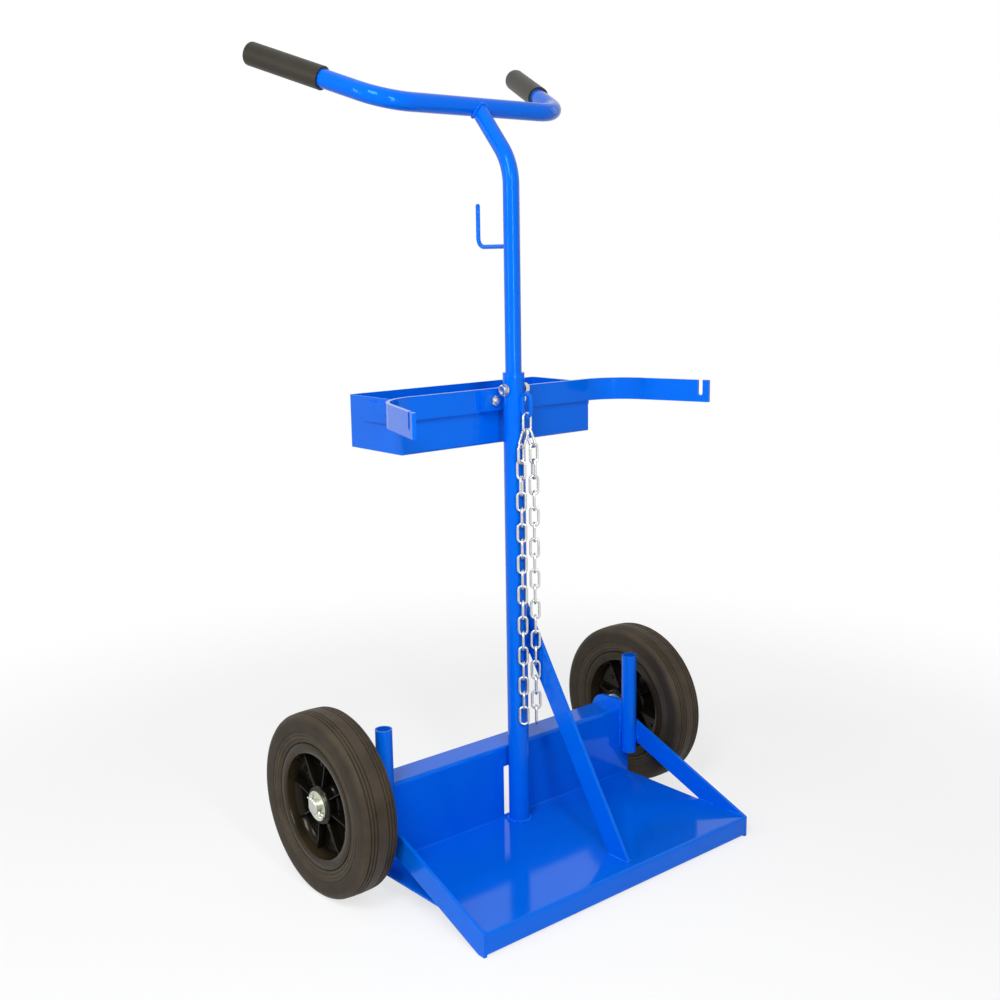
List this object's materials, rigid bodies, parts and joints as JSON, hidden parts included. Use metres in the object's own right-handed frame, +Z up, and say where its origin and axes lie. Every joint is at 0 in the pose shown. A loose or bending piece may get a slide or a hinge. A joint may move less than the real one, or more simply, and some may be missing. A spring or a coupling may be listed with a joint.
{
  "type": "oxy acetylene torch cart",
  "caption": "Upright two-cylinder welding cart with a load deck, side braces, mast, retaining bar with chain, tool tray, hose hook, curved push handle and solid wheels.",
  "frame": {"origin": "middle of the bounding box on the ground", "axes": "+X to the right as seen from the loading side, +Y backwards to the handle ends, +Z up along the mast"},
  "size_m": [0.6304, 0.483, 1.1179],
  "materials": {
    "blue_paint": "gloss blue enamel, smooth, with soft reflections",
    "axle_steel": "zinc plated, satin",
    "grip_rubber": "matt black moulded rubber",
    "zinc_hardware": "bright zinc plated",
    "chain_zinc": "bright zinc plated, welded links",
    "tyre_rubber": "matt brown-black solid rubber",
    "rim_black": "satin black moulding",
    "bush_steel": "plain bright steel"
  },
  "bodies": {
    "frame": {"load_deck": "blue_paint", "side_bar_left": "blue_paint", "side_bar_right": "blue_paint", "post_left": "blue_paint", "post_right": "blue_paint", "post_cap_left": "blue_paint", "post_cap_right": "blue_paint", "axle_plate_left": "blue_paint", "axle_plate_right": "blue_paint", "axle": "axle_steel", "axle_spacer_left": "blue_paint", "axle_spacer_right": "blue_paint", "mast_lower_tube": "blue_paint", "centre_brace": "blue_paint", "upper_tube": "blue_paint", "handlebar": "blue_paint", "grip_left": "grip_rubber", "grip_right": "grip_rubber", "hose_hook": "blue_paint", "clamp_bolt": "zinc_hardware", "clamp_nut": "zinc_hardware", "clamp_washers": "zinc_hardware", "mounting_plate": "blue_paint", "retaining_bar": "blue_paint", "bar_bolts": "zinc_hardware", "bar_nuts": "zinc_hardware", "bar_washers": "zinc_hardware", "tool_tray": "blue_paint", "tray_strap_left": "blue_paint", "tray_strap_right": "blue_paint", "chain_eye": "blue_paint", "chain_middle_link": "chain_zinc", "inner_washer_left": "zinc_hardware", "inner_washer_right": "zinc_hardware", "outer_washer_left": "zinc_hardware", "outer_washer_right": "zinc_hardware", "split_pin_left": "zinc_hardware", "split_pin_right": "zinc_hardware"},
    "wheel_left": {"tyre_left": "tyre_rubber", "rim_left": "rim_black", "hub_bush_left": "bush_steel"},
    "wheel_right": {"tyre_right": "tyre_rubber", "rim_right": "rim_black", "hub_bush_right": "bush_steel"},
    "chain_left": {"chain_left_upper": "chain_zinc", "chain_left_lower": "chain_zinc"},
    "chain_right": {"chain_right_upper": "chain_zinc", "chain_right_lower": "chain_zinc"}
  },
  "joints": [
    {"name": "wheel_left_spin", "type": "hinge", "parent": "frame", "child": "wheel_left", "pos_m": [-0.2885, 0.02852, 0.125], "axis": [1, 0, 0], "continuous": true},
    {"name": "wheel_right_spin", "type": "hinge", "parent": "frame", "child": "wheel_right", "pos_m": [0.2885, 0.02852, 0.125], "axis": [1, 0, 0], "continuous": true},
    {"name": "chain_left_swing", "type": "hinge", "parent": "frame", "child": "chain_left", "pos_m": [-0.00284, -0.04968, 0.59888], "axis": [-1, 0, 0], "range_deg": [0, 60]},
    {"name": "chain_right_swing", "type": "hinge", "parent": "frame", "child": "chain_right", "pos_m": [0.00284, -0.04968, 0.59888], "axis": [-1, 0, 0], "range_deg": [0, 60]}
  ]
}
